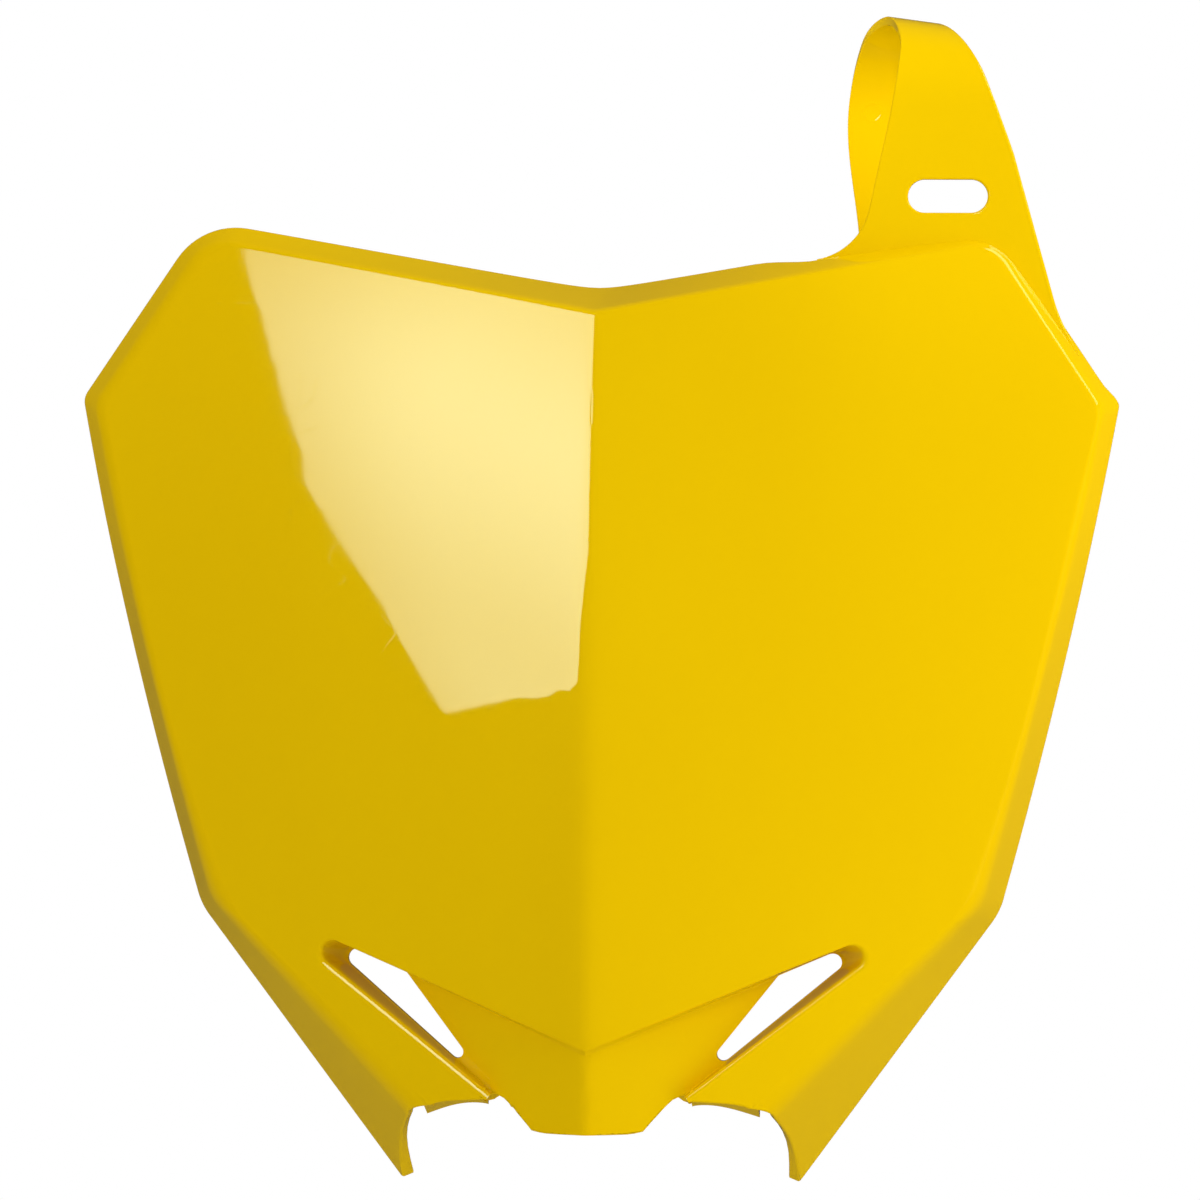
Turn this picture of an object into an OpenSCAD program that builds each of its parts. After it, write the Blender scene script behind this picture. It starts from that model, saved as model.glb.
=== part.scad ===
// Front number plate of an off-road motorcycle, moulded in one piece.
// A thin shell is folded along a vertical ridge and stiffened by a flange that flares to the rear.
// Between its two legs lies a recessed nose with two vents. A tab with an oblong slot rises
// from the top edge and runs on as a strap that loops over a handlebar.
// X runs across the plate, Z is up and the face looks towards -Y.
// The shape is worked out as height in front of the rear rim, here called depth,
// over the plate's front view.

/* [Plate outline] */
// Half of the width at the widest place of the rear rim
half_width = 126.2; // [118:0.2:132]
// Height of the rim's upper corners above the tips of the legs
plate_height = 234.7; // [226:0.1:244]
// How far the widest place lies below the upper corners
wide_drop = 43.5; // [38:0.1:50]
// Distance of the upper corners from the middle
corner_x = 97; // [88:0.2:102]
// How far the top edge dips from the corners to the middle
top_dip = 17.1; // [8:0.1:22]
// Distance of the knees, where the sides turn into the legs, from the middle
knee_x = 98.1; // [92:0.1:104]
// Height of the knees
knee_z = 67.7; // [62:0.1:78]
// Distance of the tips of the legs from the middle
foot_x = 49.1; // [46:0.1:54]
// How far each long side bows outwards between the widest place and the knee
side_bow = 1.3; // [0:0.1:3]
// Corner radius of the rim at the upper corners
corner_r = 17.5; // [8:0.5:20]
// Corner radius of the rim at the widest place
wide_r = 4.5; // [4:0.5:12]
// Corner radius of the rim at the knees
knee_r = 18; // [8:1:24]

/* [Folded face] */
// Depth of the ridge at its foremost place
prow_depth = 36; // [35:0.5:44]
// Height of the foremost place of the ridge
prow_z = 105; // [90:1:125]
// How far the ridge falls back from there to the top edge
prow_fall_top = 17; // [8:0.5:19]
// How far the ridge falls back from there to the tips of the legs
prow_fall_foot = 4.8; // [0:0.2:8]
// Angle between each panel and the rim's plane at the upper corners
fold_top = 5; // [3:0.5:7]
// The same angle at the tips of the legs
fold_foot = 23.5; // [16:0.5:28]
// Crown of each panel between the ridge and the edge
panel_crown = 1; // [0:0.1:2]

/* [Flange] */
// Thickness of the moulding
wall = 2.2; // [1.8:0.1:3]
// How far the face's edge is set in from the rim at the middle of the top
flare_top = 5.8; // [3:0.1:7]
// The same at the upper corners, upwards
flare_corner_z = 5; // [2:0.1:6]
// The same at the upper corners, sideways
flare_corner_x = 2.2; // [0:0.1:4]
// The same at the widest place
flare_wide = 4.6; // [2:0.1:6]
// The same at the knees
flare_knee = 5.4; // [4:0.1:8]
// How much lower the face's edge turns at the widest place than the rim
wide_dip = 1.8; // [0:0.1:3]
// How much higher the face's edge turns at the knees than the rim
knee_rise = 2.5; // [0:0.1:4]
// How far the face ends above the tips of the legs
foot_rise = 21.6; // [18:0.2:26]
// How far the face's lower corner lies inside the tips of the legs
foot_inset = 4.4; // [2:0.1:6]
// How much the wall thickens inwards at the tips of the legs
foot_pad = 1.6; // [0:0.1:3]
// Extra length of the leg's end at the bend
foot_fill = 1.2; // [0:0.1:2]
// Hollow of the flange's cut end
foot_scoop = 1.2; // [0:0.1:2]
// How far the rim runs back at the tips of the legs
rim_back = 23; // [10:0.5:26]
// Height at which the rim starts to run back
rim_back_z = 165; // [140:1:180]
// Rounding of the edge between face and flange at the top and the sides
edge_r = 2.4; // [1.5:0.1:4]
// The same along the legs
leg_edge_r = 5.5; // [3:0.1:7]

/* [Nose and vents] */
// Height of the point where the nose starts on the ridge
nose_z = 35.7; // [34:0.1:40]
// Slope of the crease above the nose
crease_angle = 21.8; // [19:0.2:24]
// Distance of the legs' inner corners from the middle
leg_inner_x = 23.3; // [21:0.1:26]
// Height of the legs' inner corners
leg_inner_z = 24.4; // [23:0.1:27]
// Slope of the legs' inner edges
leg_angle = 37; // [35:0.5:39]
// Radius of the recess's outer ends
recess_r = 2.9; // [2.6:0.1:3.2]
// Depth of the step between face and nose at the ridge
nose_step = 1.2; // [0.6:0.1:2]
// Angle between each half of the nose and the rim's plane
nose_fold = 27.5; // [24:0.5:30]
// Width of the recess's sloping wall below the ridge
crease_draft = 1.1; // [0.8:0.1:1.4]
// Width of the recess's sloping wall at the legs' inner corners
leg_draft = 0.3; // [0.2:0.1:1.6]
// Height of the nose's lower end
tongue_z = 15.5; // [12:0.1:20]
// Half of the width of the nose's lower end
tongue_x = 13.5; // [10:0.1:17]
// Radius of the vents' outer ends
vent_r = 2.2; // [1.8:0.1:2.4]
// Radius of the vents' other corners
vent_corner_r = 1.6; // [1:0.1:2]
// Distance along the crease from the ridge to the vents
vent_start = 48.5; // [44:0.5:52]
// Slope of the vents' inner edges
vent_angle = 51.4; // [50:0.1:56]

/* [Return lips] */
// Depth of the lip under each leg at its outer end
lip_outer = 14; // [8:0.5:16]
// Depth of the lip at its inner end
lip_inner = 10; // [5:0.5:12]
// How much the arch takes out of the lip's rear edge
lip_arch = 5; // [0:0.5:6]
// Distance of the lip's outer end from the middle
lip_end_x = 40.3; // [36:0.1:41]
// Draft angle of the lip
lip_draft = 17; // [5:1:20]

/* [Tab and strap] */
// Depth of the tab's front face
tab_front = 4; // [3:0.1:5]
// Height of the slot's middle above the rim's upper corners
slot_rise = 5.8; // [5:0.1:9]
// Distance of the slot's middle from the plate's middle
slot_x = 84.2; // [82:0.1:87]
// Length of the slot
slot_length = 19.2; // [16:0.1:21]
// Width of the slot
slot_width = 8; // [6:0.1:9]
// Radius of the fillet between the top edge and the tab
tab_fillet = 15.5; // [10:0.5:16]
// How far the edge sinks below the flange's line where that fillet starts
tab_sink = 1.7; // [1:0.1:3]
// Radius of the strap's loop, measured to the middle of its wall
loop_r = 21.5; // [16:0.5:26]
// How far the loop leans down towards the plate's side
loop_lean = 8; // [0:1:14]
// Height of the straight front of the strap above the slot's middle
strap_rise = 22.7; // [20:0.1:30]
// How far the strap's free end comes down behind the tab, from the loop's middle
strap_drop = 34; // [24:1:38]

/* [Hidden] */

plate_yellow = [0.96, 0.78, 0.02];
overlap = 0.6;
vent_gap = 0.15;

// Steps of the loft along each stretch of the outline, and across its section
top_steps = 8;
corner_steps = 4;
shoulder_steps = 6;
wide_steps = 3;
side_steps = 9;
crease_steps = 6;
end_steps = 6;
leg_steps = 9;
flange_steps = 3;
edge_steps = 4;
panel_steps = 4;
nose_steps = 4;
strap_steps = 30;

// The middle of the plate's box, front to back, is the origin
loop_depth = tab_front - wall / 2 - 2 * loop_r - wall / 2;
mid_depth = (prow_depth + loop_depth) / 2;

// Plane geometry
function unit(v) = v / norm(v);
function mix(a, b, t) = a + (b - a) * t;
function clamp(t) = max(0, min(1, t));
function ease(t) = let (c = clamp(t)) c * c * (3 - 2 * c);
function steps(a, b, n) = [for (i = [0:n]) mix(a, b, i / n)];
function tail(list) = [for (i = [1:len(list) - 1]) list[i]];
function heading(angle) = [cos(angle), sin(angle)];
// Where the line from p in direction a meets the line from q in direction b
function meet(p, a, q, b) =
    let (d = q - p) p + a * ((d.x * b.y - d.y * b.x) / (a.x * b.y - a.y * b.x));
// The arc of radius r that rounds the corner c on the way from p to q
function fillet(p, c, q, r, n) =
    let (
        u = unit(p - c),
        v = unit(q - c),
        half = acos(u * v) / 2,
        centre = c + unit(u + v) * r / sin(half),
        from = c + u * r / tan(half) - centre,
        to = c + v * r / tan(half) - centre,
        sweep = 180 - 2 * half
    )
    [for (i = [0:n])
        centre + (from * sin(sweep * (1 - i / n)) + to * sin(sweep * i / n)) / sin(sweep)];
// The normals of a curve, to the left of its direction
function normals(curve) =
    [for (i = [0:len(curve) - 1])
        let (d = curve[min(i + 1, len(curve) - 1)] - curve[max(i - 1, 0)])
        unit([-d.y, d.x])];

// Half of the plate's front view, from the middle of the top to the foot of the leg
function half_outline(top, corner, wide, knee, foot, r1, r2, r3) =
    let (
        c1 = fillet(top, corner, wide, r1, corner_steps),
        c2 = fillet(corner, wide, knee, r2, wide_steps),
        c3 = fillet(wide, knee, foot, r3, end_steps),
        side_n = side_steps + crease_steps,
        straight = steps(c2[wide_steps], c3[0], side_n)
    )
    concat(
        steps(top, c1[0], top_steps),
        tail(c1),
        tail(steps(c1[corner_steps], c2[0], shoulder_steps)),
        tail(c2),
        [for (i = [1:side_n])
            straight[i] + [4 * side_bow * (i / side_n) * (1 - i / side_n), 0]],
        tail(c3),
        tail(steps(c3[end_steps], foot, leg_steps))
    );

rim_top = [0, plate_height - top_dip];
rim_corner = [corner_x, plate_height];
rim_wide = [half_width, plate_height - wide_drop];
rim_knee = [knee_x, knee_z];
rim_foot = [foot_x, 0];
face_top = rim_top - [0, flare_top];
face_corner = rim_corner - [flare_corner_x, flare_corner_z];
face_wide = rim_wide - [flare_wide, wide_dip];
face_knee = rim_knee + [-flare_knee, knee_rise];
face_foot = rim_foot + [-foot_inset, foot_rise];

rim = half_outline(
    rim_top, rim_corner, rim_wide, rim_knee, rim_foot, corner_r, wide_r, knee_r
);
face_edge = half_outline(
    face_top, face_corner, face_wide, face_knee, face_foot,
    corner_r - 7, wide_r + 3, knee_r
);
last = len(rim) - 1;
first_nose = top_steps + corner_steps + shoulder_steps + wide_steps + side_steps;

// The recess's edge: up the crease from the ridge, round its end and down the leg
function recess_edge(crease_in, crease_turn, leg_in, leg_turn, r) =
    let (
        a = [0, nose_z] - [0, crease_in / cos(crease_angle)],
        foot = [leg_inner_x, leg_inner_z] + leg_in * heading(leg_angle + 90),
        apex = meet(
            a, heading(crease_angle + crease_turn), foot, heading(leg_angle + leg_turn)
        ),
        arc = fillet(a, apex, foot, r, end_steps)
    )
    concat(
        steps(a, arc[0], crease_steps),
        tail(arc),
        tail(steps(arc[end_steps], foot, leg_steps))
    );
recess = recess_edge(0, 0, 0, 0, recess_r);
// The foot of its wall runs closer to the crease and further from the leg as it goes out
crease_turn = 0.5;
leg_turn = 2.0;
nose_edge = recess_edge(crease_draft, crease_turn, leg_draft, leg_turn, vent_r + 0.1);

// The inner ends of the sections: down the ridge, then along the recess
ridge_start = mix(nose_z, face_top.y, 0.875);
ridge_turn = mix(nose_z, face_top.y, 0.58);
upper_steps = first_nose - side_steps;
spine = concat(
    steps([0, ridge_start], [0, ridge_turn], upper_steps),
    tail(steps([0, ridge_turn], [0, nose_z], side_steps)),
    tail(recess)
);

// Depths
function ridge_depth(z) =
    let (rise = z - prow_z, up = face_top.y - prow_z)
    prow_depth - (rise > 0
        ? prow_fall_top * pow(rise / up, 2)
        : prow_fall_foot * pow(rise / prow_z, 2));
function fold(z) = mix(tan(fold_foot), tan(fold_top), z / plate_height);
function face_depth(p) =
    let (u = p.x / half_width)
    ridge_depth(p.y) - fold(p.y) * p.x + 4 * panel_crown * u * (1 - u);
function nose_depth(p) = ridge_depth(p.y) - nose_step - tan(nose_fold) * p.x;
function rim_depth(p) = -rim_back * pow(clamp((rim_back_z - p.y) / rim_back_z), 1.25);
function wall_depth(slope) = wall * sqrt(1 + slope * slope);

// A point of the plate from its place in the front view and its depth
function place(side, p, depth) =
    [p.x < 0.001 ? 0 : side * p.x, mid_depth - depth, p.y];

// On the right the flange is cut back to the tab's rear face, beside the tab and on down the
// shoulder, and grows back to its full depth round the widest corner
tab_back = tab_front - wall;
tab_run = 39;
tab_foot_r = 40;
tab_reach = 32.2;
tab_start_x = slot_x - tab_reach;
tab_foot = [corner_x + 13.9, plate_height - 22.7];
function cut_depth(side, p) =
    let (
        along_tab = side < 0 ? 0
            : ease((p.x - tab_start_x) / 14 + 1)
                * clamp((p.y - rim_wide.y + 0.7) / 5),
        level = mix(tab_front, tab_back, ease((p.x - tab_start_x) / 7))
    )
    mix(rim_depth(p), max(rim_depth(p), level), along_tab);

// One section of the shell, from the rim over the rounded edge to the ridge or the recess.
// inset is 0 on the outside and the wall's thickness on the inside.
rim_normal = normals(rim);
face_normal = normals(face_edge);
recess_normal = normals(recess);
function out_normal(list, k) = k == 0 ? [0, 1] : k == last ? [0.7, 0] : list[k];
function away_from_recess(k) =
    k == first_nose ? [0, 1 / cos(crease_angle)] : recess_normal[k - first_nose];
leg_line = concat(unit(rim_foot - rim_knee), 0);
function leg_share(k) = ease((k - first_nose) / (crease_steps + end_steps));

function section(side, k, inset) =
    let (
        edge = face_edge[k] - inset * out_normal(face_normal, k),
        out = rim[k] - inset * out_normal(rim_normal, k),
        inner_end = spine[k] + (k < first_nose ? [0, 0] : inset * away_from_recess(k)),
        drop = inset == 0 ? 0 : wall_depth(fold(edge.y)),
        edge_depth = face_depth(edge) - drop,
        full = rim_depth(rim[k]),
        share = (edge_depth - cut_depth(side, rim[k])) / (edge_depth - full),
        corner = [edge.x, edge.y, edge_depth],
        end = mix(corner, [out.x, out.y, full], share),
        r = mix(edge_r, leg_edge_r, leg_share(k)) - (inset == 0 ? 0 : 0.6 * inset),
        reach = min(r / norm(end - corner), 0.8),
        on_flange = mix(corner, end, reach),
        start = mix(edge, inner_end, r / norm(inner_end - edge)),
        on_panel = [start.x, start.y, face_depth(start) - drop],
        pad = k == last && inset > 0 ? foot_pad : 0,
        fill = k == last ? foot_fill : 0,
        scoop = k == last ? foot_scoop : 0
    )
    concat(
        [for (i = [0:flange_steps - 1])
            let (t = i / flange_steps)
            mix(end, on_flange, t) - [pad * pow(1 - t, 2.5), 0, 0]
                + (fill * pow(t, 3) - scoop * sin(180 * t)) * leg_line],
        [for (i = [0:edge_steps])
            let (t = i / edge_steps)
            mix(mix(on_flange, corner, t), mix(corner, on_panel, t), t) + fill * leg_line],
        [for (i = [1:panel_steps])
            let (
                t = i / panel_steps,
                p = mix(start, inner_end, t) + fill * pow(1 - t, 6) * [leg_line.x, leg_line.y]
            )
            [p.x, p.y, face_depth(p) - (inset == 0 ? 0 : wall_depth(fold(p.y)))]]
    );

// One section of the nose, from the recess's edge down its wall and across to the ridge
tongue = [
    [leg_inner_x - 2, leg_inner_z - 0.8],
    [tongue_x, tongue_z + 0.3],
    [tongue_x / 2, tongue_z + 0.1],
    [0, tongue_z]
];
nose_ridge_top = nose_z - 7;
function nose_section(k, inset) =
    let (
        n = k - first_nose,
        t = n / (last - first_nose),
        base = nose_edge[n] + inset * away_from_recess(k),
        ridge_end = [0, mix(nose_ridge_top, tongue_z, t)],
        drop = inset == 0 ? 0 : wall_depth(tan(nose_fold))
    )
    [for (i = [0:nose_steps])
        let (
            straight = mix(base, ridge_end, i / nose_steps),
            p = i == 0 ? straight : mix(straight, tongue[i - 1], pow(t, 5))
        )
        [p.x, p.y, nose_depth(p) - drop]];

// The shell as a grid of sections on both sides, closed along the rim and the feet
section_points = flange_steps + edge_steps + 1 + panel_steps;
nose_points = nose_steps + 1;
function skin(side, inset) =
    [for (k = [0:last], p = section(side, k, inset)) place(side, [p.x, p.y], p.z)];
function nose_skin(side, inset) =
    [for (k = [first_nose:last], p = nose_section(k, inset))
        place(side, [p.x, p.y], p.z)];
function shell_points() =
    [for (side = [1, -1], list = [
        skin(side, 0), skin(side, wall), nose_skin(side, 0), nose_skin(side, wall)
    ], p = list) p];
// Faces are turned over on the left half, and on the inner skin
function quad(a, b, c, d, turned) = turned ? [[a, b, d], [b, c, d]] : [[d, b, a], [d, c, b]];
skin_size = (last + 1) * section_points;
nose_size = (last - first_nose + 1) * nose_points;
half_size = 2 * (skin_size + nose_size);
function shell_faces() =
    [for (half = [0, 1])
        let (
            base = half * half_size,
            inner = base + skin_size,
            nose = base + 2 * skin_size,
            nose_in = nose + nose_size
        )
        each concat(
            // the two skins of the panels and the flange
            [for (layer = [0, 1], k = [0:last - 1], j = [0:section_points - 2])
                let (a = base + layer * skin_size + k * section_points + j)
                each quad(
                    a, a + 1, a + section_points + 1, a + section_points,
                    (half + layer) % 2 == 1
                )],
            // the two skins of the nose
            [for (layer = [0, 1], k = [0:last - first_nose - 1], j = [0:nose_points - 2])
                let (a = nose + layer * nose_size + k * nose_points + j)
                each quad(
                    a, a + 1, a + nose_points + 1, a + nose_points,
                    (half + layer) % 2 == 1
                )],
            // the recess's wall between panel and nose
            [for (layer = [0, 1], k = [first_nose:last - 1])
                let (
                    a = base + layer * skin_size + (k + 1) * section_points - 1,
                    b = nose + layer * nose_size + (k - first_nose) * nose_points
                )
                each quad(
                    a, b, b + nose_points, a + section_points, (half + layer) % 2 == 1
                )],
            // the rim
            [for (k = [0:last - 1])
                let (a = base + k * section_points, b = inner + k * section_points)
                each quad(a, a + section_points, b + section_points, b, half == 1)],
            // the lower ends of leg, recess wall and nose
            [for (j = [0:section_points - 2])
                let (
                    a = base + last * section_points + j,
                    b = inner + last * section_points + j
                )
                each quad(a, a + 1, b + 1, b, half == 1)],
            let (
                a = base + (last + 1) * section_points - 1,
                b = inner + (last + 1) * section_points - 1,
                c = nose + (last - first_nose) * nose_points,
                d = nose_in + (last - first_nose) * nose_points
            )
            quad(a, c, d, b, half == 1),
            [for (j = [0:nose_points - 2])
                let (
                    a = nose + (last - first_nose) * nose_points + j,
                    b = nose_in + (last - first_nose) * nose_points + j
                )
                each quad(a, a + 1, b + 1, b, half == 1)]
        )];

module shell() {
    polyhedron(points = shell_points(), faces = shell_faces(), convexity = 10);
}

// Stands a shape of the front view up and runs it from one depth to another
module front_prism(from_depth, to_depth) {
    translate([0, mid_depth - from_depth, 0])
        rotate([90, 0, 0])
        linear_extrude(to_depth - from_depth) children();
}

// The vent fills the corner between the crease and the leg
vent_crease_in = crease_draft + vent_gap;
vent_leg_in = leg_draft + vent_gap;
function vent_outline() =
    let (
        a = [0, nose_z - vent_crease_in / cos(crease_angle)],
        foot = [leg_inner_x, leg_inner_z] + vent_leg_in * heading(leg_angle + 90),
        crease = heading(crease_angle + crease_turn),
        leg = heading(leg_angle + leg_turn),
        apex = meet(a, crease, foot, leg),
        upper = a + vent_start * crease,
        lower = meet(upper, heading(vent_angle), foot, leg)
    )
    concat(
        fillet(lower, upper, apex, vent_corner_r, 3),
        fillet(upper, apex, lower, vent_r, 8),
        fillet(apex, lower, upper, vent_corner_r, 6)
    );
module vents() {
    for (side = [0, 1])
        mirror([side, 0, 0])
        front_prism(-rim_back, prow_depth) polygon(vent_outline());
}

// The lip under each leg: a drafted strip whose rear edge is cut in an arch
lip_steps = 8;
lip_start_x = leg_inner_x + 1.2;
function lip_section(x) =
    let (
        t = (x - lip_start_x) / (lip_end_x - lip_start_x),
        z = mix(leg_inner_z, face_foot.y, (x - leg_inner_x) / (face_foot.x - leg_inner_x)),
        front = face_depth([x, z]) - overlap,
        depth = mix(lip_inner, lip_outer, t) - lip_arch * sin(180 * pow(t, 0.8)),
        fall = (depth - overlap) * tan(lip_draft),
        thick = min(wall * 0.85, 0.7 * (x - leg_inner_x))
    )
    [[x, z, front], [x, z - fall, front - depth + overlap],
        [x, z - fall + thick, front - depth + overlap], [x, z + thick, front]];
module lip(side) {
    rings = [for (i = [0:lip_steps]) lip_section(mix(lip_start_x, lip_end_x, i / lip_steps))];
    points = [for (ring = rings, p = ring) place(side, [p.x, p.y], p.z)];
    polyhedron(points = points, faces = sweep_faces(lip_steps + 1, 4, side < 0));
}

// Faces of a closed sweep of rings, capped at both ends
function sweep_faces(rings, n, turned) =
    concat(
        [for (k = [0:rings - 2], j = [0:n - 1])
            let (a = k * n + j, b = k * n + (j + 1) % n)
            each quad(a, b, b + n, a + n, turned)],
        [turned ? [for (j = [n - 1:-1:0]) j] : [for (j = [0:n - 1]) j]],
        [turned ? [for (j = [0:n - 1]) (rings - 1) * n + j]
            : [for (j = [n - 1:-1:0]) (rings - 1) * n + j]]
    );

// The tab's outline rises out of the flange's wall along the face's edge. Past its foot it
// narrows and runs into the shoulder's flange.
slot_z = plate_height + slot_rise;
strap_z = slot_z + 10;
strap_left = slot_x - 16.1;
strap_right = slot_x + 15.9;
shoulder_line = unit(rim_wide - rim_corner);
tab_end = rim_corner + tab_run * shoulder_line - 2.5 * [-shoulder_line.y, shoulder_line.x];
function tab_root() =
    [for (k = [last:-1:0])
        if (face_edge[k].x > tab_start_x - 5 && face_edge[k].y > tab_end.y + 1)
            face_edge[k] - overlap * face_normal[k]];
function tab_outline() =
    let (
        flange_line = unit(rim_corner - rim_top),
        along = [40, rim_top.y + 40 * flange_line.y / flange_line.x - tab_sink],
        edge_top = [strap_left, strap_z],
        corner = meet(along, flange_line, edge_top, heading(258))
    )
    concat(
        fillet(along, corner, edge_top, tab_fillet, 10),
        [edge_top, [strap_right, strap_z]],
        fillet([strap_right, strap_z], tab_foot, tab_end, tab_foot_r, 4),
        [tab_end],
        tab_root()
    );
module tab() {
    front_prism(tab_back, tab_front)
        difference() {
            polygon(tab_outline());
            translate([slot_x, slot_z]) slot_shape();
        }
}
module slot_shape() {
    reach = (slot_length - slot_width) / 2;
    union() {
        for (end = [-reach, reach])
            translate([end, 0]) circle(d = slot_width, $fn = 48);
        square([2 * reach, slot_width], center = true);
    }
}

// The strap's left and right edges from the slot's middle, at places along its run from the tab
loop_start = strap_rise - 10;
loop_length = PI * loop_r;
strap_length = loop_start + loop_length + strap_drop;
strap_edges = [
    [-8, -18.3, 18.2],
    [0, -16.1, 15.9],
    [13, -13.4, 11.2],
    [22, -12.1, 8.1],
    [30, -11.8, 4.4],
    [45, -15.5, -2.9],
    [60, -21.6, -8.6],
    [80, -25.4, -12.6],
    [100, -23.8, -12.8],
    [strap_length, -20.4, -13]
];
// A smooth curve through one column of that list
function along_strap(s, column, i = 1) =
    s > strap_edges[i + 1][0] && i < len(strap_edges) - 3
        ? along_strap(s, column, i + 1)
        : let (
            p0 = strap_edges[i - 1],
            p1 = strap_edges[i],
            p2 = strap_edges[i + 1],
            p3 = strap_edges[i + 2],
            h = p2[0] - p1[0],
            t = (s - p1[0]) / h,
            m1 = (p2[column] - p0[column]) / (p2[0] - p0[0]) * h,
            m2 = (p3[column] - p1[column]) / (p3[0] - p1[0]) * h
        )
        p1[column] * (1 + 2 * t) * pow(1 - t, 2) + m1 * t * pow(1 - t, 2)
            + p2[column] * t * t * (3 - 2 * t) + m2 * t * t * (t - 1);
// Place and outward direction of the middle of the strap's wall, as depth and height
function strap_path(s) =
    let (
        mid = tab_front - wall / 2,
        start_z = strap_z + loop_start,
        turn = clamp((s - loop_start) / loop_length) * 180,
        centre = [mid - loop_r, start_z],
        past = max(0, s - loop_start - loop_length)
    )
    s < loop_start
        ? [[mid, strap_z + s], [1, 0]]
        : [centre + loop_r * [cos(turn), sin(turn)] - [0, past], [cos(turn), sin(turn)]];
function strap_ring(s) =
    let (
        path = strap_path(s),
        out = path[0] + path[1] * wall / 2,
        in = path[0] - path[1] * wall / 2,
        left = slot_x + along_strap(s, 1),
        right = slot_x + along_strap(s, 2),
        lean = tan(loop_lean) * max(0, path[1].y),
        drop = lean * (right - left)
    )
    [[left, out.y, out.x], [right, out.y - drop, out.x],
        [right, in.y - drop, in.x], [left, in.y, in.x]];
module strap() {
    // the last rings narrow to a rounded free end
    end_r = 3.4;
    places = concat(
        steps(-1, strap_length - end_r, strap_steps),
        [for (i = [1:3]) strap_length - end_r * (1 - sin(i * 28))]
    );
    rings = [for (s = places)
        let (
            ring = strap_ring(min(s, strap_length - end_r)),
            past = max(0, s - strap_length + end_r),
            shrink = 1 - sqrt(max(0, 1 - pow(past / end_r, 2))),
            mid_x = (ring[0].x + ring[1].x) / 2
        )
        [for (p = ring) [mix(p.x, mid_x, shrink), p.y - past, p.z]]];
    points = [for (ring = rings, p = ring) place(1, [p.x, p.y], p.z)];
    polyhedron(points = points, faces = sweep_faces(len(rings), 4, false));
}

module number_plate() {
    color(plate_yellow)
        union() {
            difference() {
                shell();
                vents();
            }
            lip(1);
            lip(-1);
            tab();
            strap();
        }
}

number_plate();
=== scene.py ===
"""Looks of the front number plate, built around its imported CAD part.

The plate is modelled anew as one smooth skin with a real wall, from the same sizes and the
same rules as the CAD source, but finer and with rounded edges.
Sizes are in millimetres and become metres where a mesh is placed.
"""
import math

import bmesh
import bpy
import numpy as np
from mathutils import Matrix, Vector


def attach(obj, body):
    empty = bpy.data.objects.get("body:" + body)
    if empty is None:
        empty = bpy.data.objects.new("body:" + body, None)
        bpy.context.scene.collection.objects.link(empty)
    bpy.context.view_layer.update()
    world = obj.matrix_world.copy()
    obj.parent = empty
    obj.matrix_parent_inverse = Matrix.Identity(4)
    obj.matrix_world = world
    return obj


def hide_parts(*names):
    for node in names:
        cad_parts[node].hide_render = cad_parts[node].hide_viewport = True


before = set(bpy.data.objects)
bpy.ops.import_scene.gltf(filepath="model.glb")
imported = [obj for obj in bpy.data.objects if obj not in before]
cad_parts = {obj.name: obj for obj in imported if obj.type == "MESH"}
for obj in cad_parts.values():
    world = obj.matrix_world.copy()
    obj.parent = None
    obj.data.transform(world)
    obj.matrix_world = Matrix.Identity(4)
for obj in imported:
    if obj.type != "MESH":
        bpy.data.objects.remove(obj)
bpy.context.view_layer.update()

MM = 0.001

# Sizes of the outline, seen from the front, as in the CAD source
HALF_WIDTH = 126.2
CORNER = np.array([97.0, 234.7])
WIDE = np.array([HALF_WIDTH, CORNER[1] - 43.5])
KNEE = np.array([98.1, 67.7])
FOOT = np.array([49.1, 0.0])
TOP = np.array([0.0, CORNER[1] - 17.1])
SIDE_BOW = 1.3
RIM_RADII = (17.5, 4.5, 18.0)
FACE_RADII = (10.5, 7.5, 18.0)
FACE_TOP = TOP - [0, 5.8]
FACE_CORNER = CORNER - [2.2, 5.0]
FACE_WIDE = WIDE - [4.6, 1.8]
FACE_KNEE = KNEE + [-5.4, 2.5]
FACE_FOOT = FOOT + [-4.4, 21.6]

# Depths and folds
PROW_DEPTH = 36.0
PROW_Z = 105.0
PROW_FALL_TOP = 17.0
PROW_FALL_FOOT = 4.8
FOLD_TOP = math.tan(math.radians(5.0))
FOLD_FOOT = math.tan(math.radians(23.5))
PANEL_CROWN = 1.0
RIM_BACK = 23.0
RIM_BACK_Z = 165.0
RIM_BACK_BEND = 1.25
WALL = 2.2
MOST_WALL = 3.6
EDGE_R = 2.4
LEG_EDGE_R = 5.5
TIGHT_R = 1.0
MOST_BEND = 0.8
TOP_ROUND = 5.0
RIDGE_R = 1.6
RIDGE_SHARES = (0.875, 0.58)

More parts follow.
